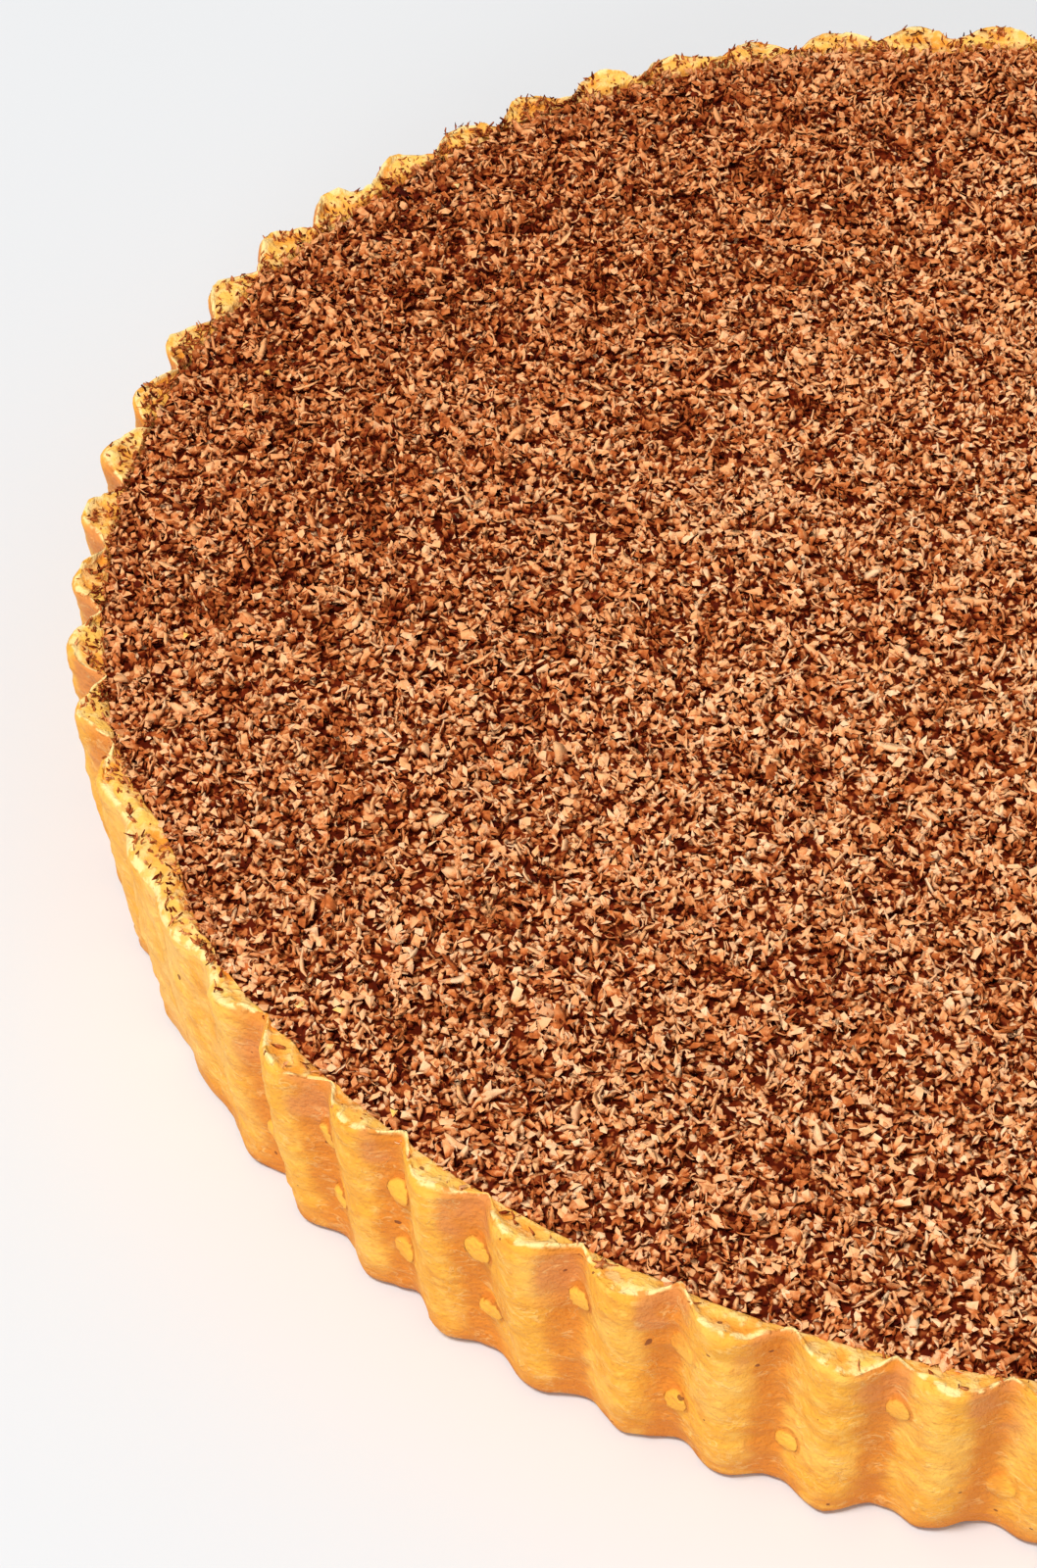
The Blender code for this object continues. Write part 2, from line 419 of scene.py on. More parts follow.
class Recipe:
    """A node tree being put together, for a material or for a shared effect."""

    def __init__(self, tree: bpy.types.NodeTree) -> None:
        """Start on a tree."""
        self.tree = tree

    def add(self, kind: str, **settings: object) -> bpy.types.Node:
        """Add a node.

        Args:
            kind: Its type without the ShaderNode prefix.
            **settings: Values for its properties, or for inputs named with underscores.

        Returns:
            The node.
        """
        node = self.tree.nodes.new("ShaderNode" + kind)
        for name, value in settings.items():
            if hasattr(node, name):
                setattr(node, name, value)
            else:
                node.inputs[name.replace("_", " ")].default_value = value
        return node

    def feed(self, value: object, target: Socket) -> None:
        """Join an output to an input, or set the input to a plain value.

        Args:
            value: A socket, a number or a colour.
            target: The input.
        """
        if isinstance(value, Socket):
            self.tree.links.new(value, target)
        else:
            target.default_value = value

    def work(self, kind: str, first: object, second: object) -> Socket:
        """Return a Math operation on two sockets or numbers.

        Args:
            kind: The operation.
            first: A socket or a number.
            second: A socket or a number.

        Returns:
            The result.
        """
        node = self.add("Math", operation=kind)
        self.feed(first, node.inputs[0])
        self.feed(second, node.inputs[1])
        return node.outputs[0]

    def product(self, *values: object) -> object:
        """Return sockets and numbers multiplied together."""
        return functools.reduce(lambda first, second: self.work("MULTIPLY", first, second), values)

    def fade(self, value: Socket, low: object, high: object) -> Socket:
        """Return 0 at or before low, 1 at or past high and a smooth step between.

        Args:
            value: The socket to read.
            low: Where the step starts, a number or a socket.
            high: Where it ends; a number below low makes the step fall.

        Returns:
            The step.
        """
        node = self.add("MapRange", interpolation_type="SMOOTHSTEP")
        ends = (low, high, 0.0, 1.0)
        if isinstance(low, float) and low > high:
            ends = (high, low, 1.0, 0.0)
        for slot, end in enumerate((value, *ends)):
            self.feed(end, node.inputs[slot])
        return node.outputs[0]

    def tint(self, base: object, colour: object, share: object) -> Socket:
        """Lay a colour over another.

        Args:
            base: A colour or a colour socket.
            colour: What goes over it.
            share: How much of it, a number or a socket.

        Returns:
            The mixed colour.
        """
        node = self.add("Mix", data_type="RGBA", clamp_factor=True)
        for slot, value in ((0, share), (6, base), (7, colour)):
            self.feed(value, node.inputs[slot])
        return node.outputs[2]

    def painted(self, name: str) -> Socket:
        """Read a number kept on the mesh."""
        return self.add("Attribute", attribute_name=name).outputs["Fac"]

    def place(self) -> Socket:
        """Read where on the tart a point lies."""
        return self.add("TexCoord").outputs["Object"]

    def noise(self, scale: object, detail: object = 2.0, distortion: float = 0.0,
              where: Socket | None = None) -> bpy.types.Node:
        """Add a soft noise.

        Args:
            scale: How fine it is, a number or a socket.
            detail: How ragged it is, a number or a socket.
            distortion: How far it is stirred.
            where: The places it reads; the point's own place where none is given.

        Returns:
            The noise node.
        """
        node = self.add("TexNoise", Distortion=distortion)
        self.feed(where or self.place(), node.inputs["Vector"])
        self.feed(scale, node.inputs["Scale"])
        self.feed(detail, node.inputs["Detail"])
        return node

    def press(self, height: Socket, depth: object, strength: float = 1.0,
              over: Socket | None = None) -> Socket:
        """Press a relief into the surface.

        Args:
            height: The relief, between 0 and 1.
            depth: How deep it goes in metres, a number or a socket.
            strength: How much of it counts.
            over: A relief that is already there.

        Returns:
            The surface's normal.
        """
        node = self.add("Bump", Strength=strength)
        self.feed(depth, node.inputs["Distance"])
        self.feed(height, node.inputs["Height"])
        if over:
            self.feed(over, node.inputs["Normal"])
        return node.outputs["Normal"]


def new_effect(name: str, inputs: dict[str, float], output: str,
               kind: str) -> tuple[Recipe, dict[str, Socket], Socket]:
    """Start a shared effect.

    Args:
        name: Its name.
        inputs: Its numbers, by name, with their usual values.
        output: The name of its result.
        kind: The socket type of its result.

    Returns:
        The recipe, the sockets that carry the inputs in, and the socket that takes the result.
    """
    tree = bpy.data.node_groups.new(name, "ShaderNodeTree")
    for label, usual in inputs.items():
        tree.interface.new_socket(label, in_out="INPUT", socket_type="NodeSocketFloat").default_value = usual
    tree.interface.new_socket(output, in_out="OUTPUT", socket_type=kind)
    start, end = tree.nodes.new("NodeGroupInput"), tree.nodes.new("NodeGroupOutput")
    return Recipe(tree), {label: start.outputs[label] for label in inputs}, end.inputs[output]


def make_patches_effect() -> bpy.types.NodeTree:
    """Make the shared effect of soft uneven patches, used by the pastry and the chocolate.

    Returns:
        The effect.
    """
    recipe, given, result = new_effect(
        "soft_patches", {"Scale": 100.0, "Detail": 3.0, "Low": 0.4, "High": 0.6}, "Mask", "NodeSocketFloat")
    noise = recipe.noise(given["Scale"], given["Detail"])
    recipe.feed(recipe.fade(noise.outputs["Fac"], given["Low"], given["High"]), result)
    return recipe.tree


def make_grain_effect() -> bpy.types.NodeTree:
    """Make the shared effect of a fine crumb, two noises pressed into the surface.

    Returns:
        The effect.
    """
    recipe, given, result = new_effect(
        "fine_crumb", {"Scale": 1500.0, "Coarse Scale": 500.0, "Depth": 0.0001}, "Normal", "NodeSocketVector")
    fine, coarse = (recipe.noise(given[label]).outputs["Fac"] for label in ("Scale", "Coarse Scale"))
    recipe.feed(recipe.press(recipe.work("ADD", fine, coarse), given["Depth"]), result)
    return recipe.tree


@dataclass(frozen=True)
class Coat:
    """A coat of colour over the ones before it, which lies where its patches and steps all do.

    Patches are given by their size in metres, where they start and end, and how ragged they are.
    A step is a value kept on the mesh, and where it starts and ends.
    """

    colour: Colour
    share: float
    patches: tuple[float, ...] = ()
    steps: tuple[tuple[str, float, float], ...] = ()


class Finish:
    """A surface finish: a material with one Principled surface and the shared effects."""

    def __init__(self, name: str, effects: Effects, roughness: float, specular: float = 0.5) -> None:
        """Start a material.

        Args:
            name: The material's name.
            effects: The shared effects, by name.
            roughness: How matt it is.
            specular: How bright its gloss is.
        """
        self.material = bpy.data.materials.new(name)
        self.material.use_nodes = True
        self.recipe = Recipe(self.material.node_tree)
        self.surface = self.material.node_tree.nodes["Principled BSDF"]
        self.surface.inputs["Roughness"].default_value = roughness
        self.surface.inputs["Specular IOR Level"].default_value = specular
        self.effects = effects

    def effect(self, name: str, **values: object) -> Socket:
        """Place a shared effect with its own values and return its result.

        Args:
            name: The effect's name.
            **values: Numbers or sockets, by the input's name with underscores.

        Returns:
            The effect's one result.
        """
        node = self.recipe.add("Group", node_tree=self.effects[name])
        for label, value in values.items():
            self.recipe.feed(value, node.inputs[label.replace("_", " ")])
        return node.outputs[0]

    def patches(self, size: float, low: float, high: float, detail: float = 3.0) -> Socket:
        """Return the mask of soft patches about one size across, which cover more where low is small."""
        return self.effect("soft_patches", Scale=1.0 / size, Detail=detail, Low=low, High=high)

    def lay(self, base: object, *coats: Coat) -> Socket:
        """Lay coats of colour over a base, in order.

        Args:
            base: A colour or a colour socket.
            *coats: The coats.

        Returns:
            The colour on top.
        """
        for coat in coats:
            masks = [self.recipe.fade(self.recipe.painted(name), low, high) for name, low, high in coat.steps]
            if coat.patches:
                masks.append(self.patches(*coat.patches))
            base = self.recipe.tint(base, coat.colour, self.recipe.product(*masks, coat.share))
        return base

    def close(self, colour: object, normal: Socket) -> "Finish":
        """Put the colour and the relief on the surface, and return the finish.

        Args:
            colour: A colour or a colour socket.
            normal: The relief.

        Returns:
            The finish.
        """
        self.recipe.feed(colour, self.surface.inputs["Base Color"])
        self.recipe.feed(normal, self.surface.inputs["Normal"])
        return self


def dress(piece: Piece, finish: Finish, node: str) -> None:
    """Finish a piece, put it in the place of the solid that it stands for, and log it.

    Args:
        piece: The finished mesh.
        finish: Its finish.
        node: The solid's node.
    """
    piece.data.materials.clear()
    piece.data.materials.append(finish.material)
    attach(piece, "root")
    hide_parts(node)
    log.info("%s: %d faces", piece.name, len(piece.data.polygons))


@dataclass(frozen=True)
class PastryLook:
    """Colours of the baked pastry, and the coats that they are laid in."""

    golden: Colour = (0.88, 0.395, 0.038, 1.0)
    pale: Colour = (0.96, 0.525, 0.095, 1.0)
    toasted: Colour = (0.68, 0.215, 0.020, 1.0)
    brown: Colour = (0.40, 0.090, 0.010, 1.0)
    rosy: Colour = (0.68, 0.240, 0.060, 1.0)
    apricot: Colour = (0.90, 0.330, 0.032, 1.0)
    dimple: Colour = (0.98, 0.480, 0.052, 1.0)
    lip: Colour = (1.00, 0.720, 0.290, 1.0)
    fleck: Colour = (0.20, 0.050, 0.010, 1.0)
    roughness: float = 0.66
    glaze: float = 0.22
    crease_scale: float = 300.0
    crease_flattening: float = 1.7
    crease_half_width: float = 0.050
    crease_stir: float = 1.4
    crease_patches: tuple[float, float, float] = (0.0030, 0.46, 0.62)
    crease_share: float = 0.30
    mark_relief: float = 0.00022
    crease_relief: float = 0.18
    scale_relief: float = 0.60
    mottle: tuple[Coat, ...] = (
        Coat(pale, 0.75, (0.0085, 0.44, 0.66)), Coat(toasted, 0.42, (0.0042, 0.50, 0.72)),
        Coat(pale, 0.60, (0.0018, 0.50, 0.66)), Coat(toasted, 0.32, (0.0016, 0.56, 0.72)))
    # Valleys are browned, and the band sits on the flank turned from the light: partly browning, partly
    # painted shade.
    browned_shaded_valleys: tuple[float, float] = (0.78, 0.22)
    valley_patches: tuple[float, float, float] = (0.0035, 0.3, 0.7)
    valley_unevenness: float = 0.22
    valley_share: float = 0.92
    # Rosy colour high on the flank turned from the light, under the lip: partly the dough's colour, partly
    # painted shade.
    rosy_shade_under_lip: Coat = Coat(rosy, 0.88, (0.0070, 0.40, 0.58), (("rise", 0.60, 0.84), ("crest", 0.85, 0.45)))
    low_band: Coat = Coat(toasted, 0.88, (0.0045, 0.26, 0.56), (("rise", 0.24, 0.03),))
    foot: Coat = Coat(brown, 0.55, (0.0022, 0.38, 0.56), (("rise", 0.055, 0.015),))
    sagged_patches: tuple[float, float, float] = (0.0055, 0.30, 0.62)
    sagged_share: float = 0.24
    mark_share: float = 0.80
    # Painted shadow: how brown the crescent on each mark's upper right is.
    shadow_ring_browning: float = 0.22
    # Pale over the crumbs that stand up and apricot in the hollows between them: painted shade in the
    # hollows; the toasted patches are browning.
    rim_top: tuple[Coat, ...] = (
        Coat(pale, 0.85, (), (("proud", 0.20, 0.62),)), Coat(toasted, 0.60, (0.0028, 0.57, 0.67)),
        Coat(toasted, 0.70, (0.0050, 0.40, 0.60), (("rim", 0.62, 0.98),)),
        Coat(pale, 0.80, (), (("proud", 0.46, 0.70),)))
    scale_patches: tuple[float, float, float] = (0.0014, 0.44, 0.64)
    scale_share: float = 0.50
    rim_start: tuple[float, float] = (0.02, 0.22)
    # Pale cream along the lip's edge: partly paler dough, partly a painted highlight where the edge catches
    # light.
    lip_edge_highlight: Coat = Coat(lip, 1.0, (0.0015, 0.40, 0.54), (("rim", -0.40, -0.10), ("rim", 0.30, 0.06)))
    specks: Coat = Coat(fleck, 0.85, (0.0013, 0.835, 0.855, 0.0))

    def make(self, effects: Effects) -> Finish:
        """Make the case's finish, which reads all the values kept on its mesh.

        Args:
            effects: The shared effects, by name.

        Returns:
            The finish.
        """
        finish = Finish("baked_pastry", effects, self.roughness, self.glaze)
        recipe = finish.recipe
        rim = recipe.painted("rim")
        mark, shadow_ring = self.mark_masks(recipe)
        creases = recipe.product(self.creases(finish), recipe.fade(rim, -0.80, -0.98))
        colour = finish.lay(self.golden, *self.mottle)
        # Toasted valleys: partly browning, partly painted shade on the flank turned from the light.
        patchy = recipe.product(finish.patches(*self.valley_patches), self.valley_unevenness)
        valley = recipe.fade(recipe.work("ADD", recipe.painted("crest"), patchy), *self.browned_shaded_valleys)
        colour = recipe.tint(colour, self.toasted, recipe.product(valley, self.valley_share))
        # The first of these coats, rosy under the lip, is partly painted shade.
        colour = finish.lay(colour, self.rosy_shade_under_lip, self.low_band, self.foot)
        sagged = recipe.product(recipe.painted("sagged"), finish.patches(*self.sagged_patches))
        # The mark edges below are painted shadow on each mark's upper right, the side turned from the light.
        on_wall = ((self.lip, sagged, self.sagged_share), (self.lip, creases, self.crease_share),
                   (self.dimple, mark, self.mark_share), (self.toasted, shadow_ring, 1.0),
                   (self.brown, shadow_ring, self.shadow_ring_browning))
        for over, mask, share in on_wall:
            colour = recipe.tint(colour, over, recipe.product(mask, share))
        scales = finish.patches(*self.scale_patches)
        # The rim top is darker in its hollows and paler on proud crumbs as painted shade.
        top = finish.lay(self.apricot, *self.rim_top)
        top = recipe.tint(top, self.lip, recipe.product(scales, self.scale_share))
        colour = recipe.tint(colour, top, recipe.fade(rim, *self.rim_start))
        # The lip's pale edge is partly a painted highlight.
        colour = finish.lay(colour, self.lip_edge_highlight, self.specks)
        scales = recipe.product(scales, recipe.fade(rim, -0.55, -0.20), self.scale_relief)
        relief = recipe.work("ADD", recipe.product(creases, self.crease_relief), scales)
        relief = recipe.work("ADD", mark, relief)
        grain = finish.effect("fine_crumb", Scale=1700.0, Coarse_Scale=700.0, Depth=0.00026)
        return finish.close(colour, recipe.press(relief, self.mark_relief, over=grain))

    def mark_masks(self, recipe: Recipe) -> tuple[Socket, Socket]:
        """Return where the round marks of the tin's holes are, and the browned edge on their upper right,
        which is painted shadow.

        Args:
            recipe: The finish's tree.

        Returns:
            A mask of the marks and a mask of the painted shadow along their upper right edges.
        """
        distance = recipe.painted("mark_distance")
        strength = recipe.fade(recipe.painted("mark_strength"), 0.10, 1.00)
        mark = recipe.product(recipe.fade(distance, 1.05, 0.93), strength)
        # Painted shadow: a browned crescent on each mark's upper right, the side turned from the light.
        shadow_ring = recipe.product(recipe.fade(distance, 0.84, 1.00), recipe.fade(distance, 1.36, 1.14),
                              recipe.fade(recipe.painted("mark_shaded_side"), 0.10, 0.85), strength)
        return mark, shadow_ring

    def creases(self, finish: Finish) -> Socket:
        """Return the thin pale wrinkles that run level round the wall.

        Args:
            finish: The pastry's finish.

        Returns:
            Their mask.
        """
        recipe = finish.recipe
        flattened = recipe.add("Mapping", Scale=(1.0, 1.0, self.crease_flattening))
        recipe.feed(recipe.place(), flattened.inputs["Vector"])
        drift = recipe.noise(self.crease_scale, 2.0, self.crease_stir, flattened.outputs["Vector"])
        off_line = recipe.work("ABSOLUTE", recipe.work("SUBTRACT", drift.outputs["Fac"], 0.5), 0.0)
        lines = recipe.fade(off_line, self.crease_half_width, 0.0)
        return recipe.product(lines, finish.patches(*self.crease_patches))

    def make_crumb(self, effects: Effects) -> Finish:
        """Make the finish of loose pastry crumbs from the shared effects.

        Args:
            effects: The shared effects, by name.

        Returns:
            The finish.
        """
        finish = Finish("pastry_crumb", effects, self.roughness)
        grain = finish.effect("fine_crumb", Scale=2600.0, Coarse_Scale=1200.0, Depth=0.00010)
        return finish.close(finish.lay(self.pale, Coat(self.lip, 1.0, (0.0008, 0.40, 0.60))), grain)


@dataclass(frozen=True)
class ChocolateLook:
    """Colours of the grated chocolate, from the darkest gap to the palest flake."""

    tones: tuple[tuple[float, Colour], ...] = (
        (0.00, (0.045, 0.003, 0.001, 1.0)),
        (0.15, (0.165, 0.016, 0.002, 1.0)),
        (0.35, (0.560, 0.148, 0.034, 1.0)),
        (0.56, (0.880, 0.405, 0.160, 1.0)),
        (0.95, (0.970, 0.635, 0.365, 1.0)),
    )
    roughness: float = 0.70
    sheen_of_fat: float = 0.05
    mottle: tuple[float, float, float] = (0.0007, 0.35, 0.65)
    mottle_share: float = 0.12
    speck_scale: float = 1050.0
    stir_scale: float = 900.0
    speck_stir: float = 0.0012
    speck_contrast: float = 1.7
    speck_share: float = 0.85
    speck_depth: float = 0.0004

    def make_tones_effect(self) -> bpy.types.NodeTree:
        """Make the shared effect that turns a tone into a chocolate colour.

        Returns:
            The effect.
        """
        recipe, given, result = new_effect("chocolate_tones", {"Tone": 0.5}, "Color", "NodeSocketColor")
        ramp = recipe.add("ValToRGB")
        stops = ramp.color_ramp.elements
        while len(stops) < len(self.tones):
            stops.new(0.5)
        for stop, (place, colour) in zip(stops, self.tones):
            stop.position = place
            stop.color = colour
        recipe.feed(given["Tone"], ramp.inputs["Fac"])
        recipe.feed(ramp.outputs["Color"], result)
        return recipe.tree

    def make_loose(self, effects: Effects) -> Finish:
        """Make the finish of the loose flakes, which reads each flake's tone from the mesh.

        Args:
            effects: The shared effects, by name.

        Returns:
            The finish.
        """
        finish = Finish("grated_milk_chocolate", effects, self.roughness, self.sheen_of_fat)
        recipe = finish.recipe
        mottle = recipe.product(finish.patches(*self.mottle), self.mottle_share)
        tone = recipe.work("SUBTRACT", recipe.painted("tone"), mottle)
        grain = finish.effect("fine_crumb", Scale=4200.0, Coarse_Scale=1900.0, Depth=0.00006)
        return finish.close(finish.effect("chocolate_tones", Tone=tone), grain)

    def make_packed(self, effects: Effects) -> Finish:
        """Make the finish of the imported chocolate, where each fine speck has its own tone.

        Args:
            effects: The shared effects, by name.

        Returns:
            The finish, which reads its overall tone from the mesh.
        """
        finish = Finish("packed_milk_chocolate", effects, self.roughness, self.sheen_of_fat)
        recipe = finish.recipe
        stirred = recipe.add("VectorMath", operation="MULTIPLY_ADD")
        drift = recipe.noise(self.stir_scale, 1.0).outputs["Color"]
        for slot, value in enumerate((drift, (self.speck_stir,) * 3, recipe.place())):
            recipe.feed(value, stirred.inputs[slot])
        specks = recipe.add("TexVoronoi", Scale=self.speck_scale)
        recipe.feed(stirred.outputs[0], specks.inputs["Vector"])
        split = recipe.add("SeparateColor")
        recipe.feed(specks.outputs["Color"], split.inputs[0])
        lifted = recipe.work("POWER", split.outputs["Red"], self.speck_contrast)
        edge = recipe.fade(specks.outputs["Distance"], 0.75, 0.35)
        speck = recipe.product(lifted, edge, self.speck_share)
        tone = recipe.work("ADD", recipe.painted("tone"), speck)
        colour = finish.effect("chocolate_tones", Tone=tone)
        return finish.close(colour, recipe.press(speck, self.speck_depth))


# --- The pastry case ---

class Zone(Enum):
    """The stretches of the case's profile, in order from the middle of the underside."""

    UNDERSIDE = 0
    ROUNDING = 1
    WALL = 2
    LIP = 3
    RIM_TOP = 4
    RECESS = 5
    FLOOR = 6


OFF_RIM = -0.99


@dataclass(frozen=True)
class Relief:
    """An uneven relief: how deep it goes, how far apart its lumps lie, and its random numbers."""

    depth: float
    size: float
    draw: Draw

    def at(self, places: Array) -> Array:
        """Return how far the relief stands out at places in space."""
        return self.depth * rough(places, self.size, self.draw)


@dataclass
class PastryCase:
    """The baked case: one solid piece with a fluted wall, a crumbly rim and the tin's hole marks.

    Mark rows are shares of the wall's height.  The ridge and the hollow are the middle and the width
    of a stretch over the rim, where -1 is the wall, 0 the lip and 1 the chocolate.
    """

    form: TartForm
    columns_per_flute: int = 20
    gather: float = 0.45
    rows: tuple[tuple[Zone, int], ...] = (
        (Zone.UNDERSIDE, 2), (Zone.ROUNDING, 3), (Zone.WALL, 46), (Zone.LIP, 5), (Zone.RIM_TOP, 14),
        (Zone.RECESS, 1), (Zone.FLOOR, 1))
    mark_rows: tuple[float, float] = (0.735, 0.345)
    mark_half_width: float = 0.0016
    mark_half_height: float = 0.0021
    mark_height: float = 0.00035
    mark_fill: float = 0.0009
    mark_strengths: tuple[float, ...] = (0.10, 0.25, 0.45, 0.7, 1.0)
    mark_sideways: tuple[float, float] = (0.0005, 0.0004)
    mark_upwards: tuple[float, float] = (0.0, 0.0005)
    mark_sizes: tuple[float, float] = (0.88, 1.08)
    mark_edge: tuple[float, float] = (1.06, 0.20)
    mark_doming: float = 0.25
    # Direction of each mark's upper right, where its shadow is painted.
    mark_shaded_side: tuple[float, float] = (0.6, 0.8)
    far_from_mark: float = 2.5
    marks_from: float = 0.0015
    marks_fade: float = 0.002
    ridge: tuple[float, float] = (-0.05, 0.25)
    hollow: tuple[float, float] = (0.50, 0.24)
    # Phase shift that moves the browned valley band onto the flank turned from the light, as painted shade.
    shaded_flank_shift: float = 0.55
    crest_sharpness: float = 1.3
    sagged_browning: float = 0.85
    fold_stretch: tuple[float, float, float] = (1.0, 1.0, 1.5)
    wall_grain: Relief = Relief(0.00020, 0.0017, Draw.WALL_GRAIN)
    wall_folds: Relief = Relief(0.00022, 0.0036, Draw.WALL_FOLDS)
    wall_waves: Relief = Relief(0.00048, 0.0085, Draw.WALL_WAVES)
    rim_sides: Relief = Relief(0.000372, 0.0019, Draw.RIM_SIDES)
    fine_crumble: Relief = Relief(0.000372, 0.0013, Draw.FINE_CRUMBLE)
    crumble: Relief = Relief(0.000496, 0.0030, Draw.CRUMBLE)
    rim_swell: Relief = Relief(0.000434, 0.0060, Draw.RIM_SWELL)
    fine_edge: Relief = Relief(0.00095, 0.0015, Draw.FINE_EDGE)
    ragged_edge: Relief = Relief(0.000665, 0.0034, Draw.RAGGED_EDGE)
    hollow_lumps: Relief = Relief(0.00016, 0.0030, Draw.HOLLOW)
    sunken_top: float = 0.00010
    sunken_sag: float = 0.00040
    proud_height: float = 0.00124

    def stations(self) -> list[tuple[Zone, float]]:
        """Return the profile's points as a zone and the share of the way through it.

        Returns:
            The points, in order.
        """
        points = [(Zone.UNDERSIDE, 0.0)]
        for zone, count in self.rows:
            points += [(zone, (step + 1) / count) for step in range(count)]
        return points

    def spot(self, zone: Zone, share: float | Array, angle: Array) -> tuple[Array, Array]:
        """Return where a point of the profile lies on the smooth case.

        Args:
            zone: The stretch of the profile.
            share: How far through it.
            angle: Angles in radians.

        Returns:
            Radii and heights.
        """
        form = self.form
        foot = form.outer_radius(angle, form.base_rounding)
        drop = form.lip_drop + form.sag_lip_drop * form.sag(angle)
        wall_top = form.lip_height(angle) - drop
        lip = form.outer_radius(angle, form.height) - form.lip_inset - form.sag_lip_inset * form.sag(angle)
        inner = form.inner_radius(angle)
        floor_radius = inner - form.recess_lean
        floor_height = form.height - form.recess_depth
        even = np.ones_like(angle)
        if zone is Zone.UNDERSIDE:
            return share * (foot - form.base_rounding), 0.0 * even
        if zone is Zone.ROUNDING:
            turn = share * math.pi / 2
            return (foot - form.base_rounding * (1 - math.sin(turn)),
                    form.base_rounding * (1 - math.cos(turn)) * even)
        if zone is Zone.WALL:
            height = form.base_rounding + share * (form.height - form.lip_drop - form.base_rounding)
            return (form.outer_radius(angle, height),
                    form.base_rounding + share * (wall_top - form.base_rounding))
        if zone is Zone.LIP:
            turn = share * math.pi / 2
            side = form.outer_radius(angle, form.height - form.lip_drop)
            return lip + (side - lip) * math.cos(turn), wall_top + drop * math.sin(turn)
        if zone is Zone.RIM_TOP:
            fall = form.soft_fall * share ** 1.4
            return lip + share * (inner - lip), form.lip_height(angle) - fall
        if zone is Zone.RECESS:
            return (inner - share * form.recess_lean,
                    (1 - share) * (form.lip_height(angle) - form.rim_fall) + share * floor_height)
        return (1.0 - share) * floor_radius, floor_height * even

    def marks(self, angle: Array, height: Array) -> tuple[Array, Array, Array, Array]:
        """Return where dough sank into the holes of the tin, which lie on the valleys.

        Args:
            angle: Angles in radians.
            height: Heights above the underside.

        Returns:
            How far each point stands out, its distance from the nearest mark's middle in half
            widths, how strong that mark is, and how far the point lies to its upper right, where the
            finish paints the mark's shadow.
        """
        form = self.form
        turns = form.phase(angle) / TURN
        flute = np.floor(turns).astype(int) % form.flutes
        across = (turns % 1.0 - 0.5) * TURN / form.flutes * form.rim_valley
        filled = np.clip(self.mark_fill - form.flute_depth(angle, height), 0.0, None) + self.mark_height
        draw = np.random.default_rng(Draw.MARKS)
        push, strong, side = np.zeros(len(angle)), np.zeros(len(angle)), np.zeros(len(angle))
        nearest = np.full(len(angle), self.far_from_mark)
        for row in self.mark_rows:
            strength = draw.choice(self.mark_strengths, form.flutes)
            sideways = draw.normal(*self.mark_sideways, form.flutes)
            upwards = draw.normal(*self.mark_upwards, form.flutes)
            size = draw.uniform(*self.mark_sizes, form.flutes)
            x = (across - sideways[flute]) / (self.mark_half_width * size[flute])
            z = (height - form.height * row - upwards[flute]) / (self.mark_half_height * size[flute])
            away = np.hypot(x, z)
            disc = ease((self.mark_edge[0] - away) / self.mark_edge[1])
            dome = 1.0 - self.mark_doming * (1.0 - np.clip(1.0 - away, 0.0, 1.0))
            towards = self.mark_shaded_side[0] * x + self.mark_shaded_side[1] * z
            upper_right = 0.5 + 0.5 * towards / np.maximum(away, 0.05)
            push = np.maximum(push, strength[flute] * disc * dome * filled)
            closer = away < nearest
            nearest = np.where(closer, away, nearest)
            strong = np.where(closer, strength[flute], strong)
            side = np.where(closer, upper_right, side)
        return push, nearest, strong, side

    @staticmethod
    def over_rim(zone: Zone, share: float) -> float:
        """Return how far over the rim a point lies: -1 on the wall, 0 on the lip, 1 at the chocolate.

        Args:
            zone: The point's stretch of the profile.
            share: How far through it.

        Returns:
            The value.
        """
        if zone is Zone.LIP:
            return share - 1.0
        if zone is Zone.RIM_TOP:
            return share
        return 1.0 if zone in (Zone.RECESS, Zone.FLOOR) else -1.0

    def roughen(self, places: Array, radius: Array, rim: Array, sagged: Array) -> tuple[Array, Array, Array]:
        """Work out how the folds, the crumbs and the ragged lip move the smooth case.

        Args:
            places: The smooth case's points.
            radius: Their radii.
            rim: How far over the rim they lie.
            sagged: How far the dough sagged there.

        Returns:
            How far each point moves outwards, how far its crumbs stand up, and how far it moves up.
        """
        form = self.form
        outside = (rim < 1.0) & (radius > form.base_valley - form.base_rounding - MILLIMETRE)
        past_lip = outside & (rim > OFF_RIM)
        on_top = past_lip * np.clip(1.0 - np.abs(rim - 0.45) * 0.9, 0.0, 1.0)
        ridge, hollow = (past_lip * np.exp(-(((rim - middle) / width) ** 2))
                         for middle, width in (self.ridge, self.hollow))
        stretched = places * np.array(self.fold_stretch)
        wall = self.wall_grain.at(stretched) + self.wall_folds.at(stretched) + self.wall_waves.at(places)
        outwards = outside * wall + (on_top + ridge) * self.rim_sides.at(places)
        crumbs = on_top * (self.fine_crumble.at(places) + self.crumble.at(places))
        crumbs = crumbs - hollow * (self.sunken_top + self.hollow_lumps.at(places))
        ragged = (1.0 - 0.5 * sagged) * (self.fine_edge.at(places) + self.ragged_edge.at(places))
        upwards = past_lip * self.rim_swell.at(places) + ridge * (ragged - sagged * self.sunken_sag)
        return outwards, crumbs, crumbs + upwards

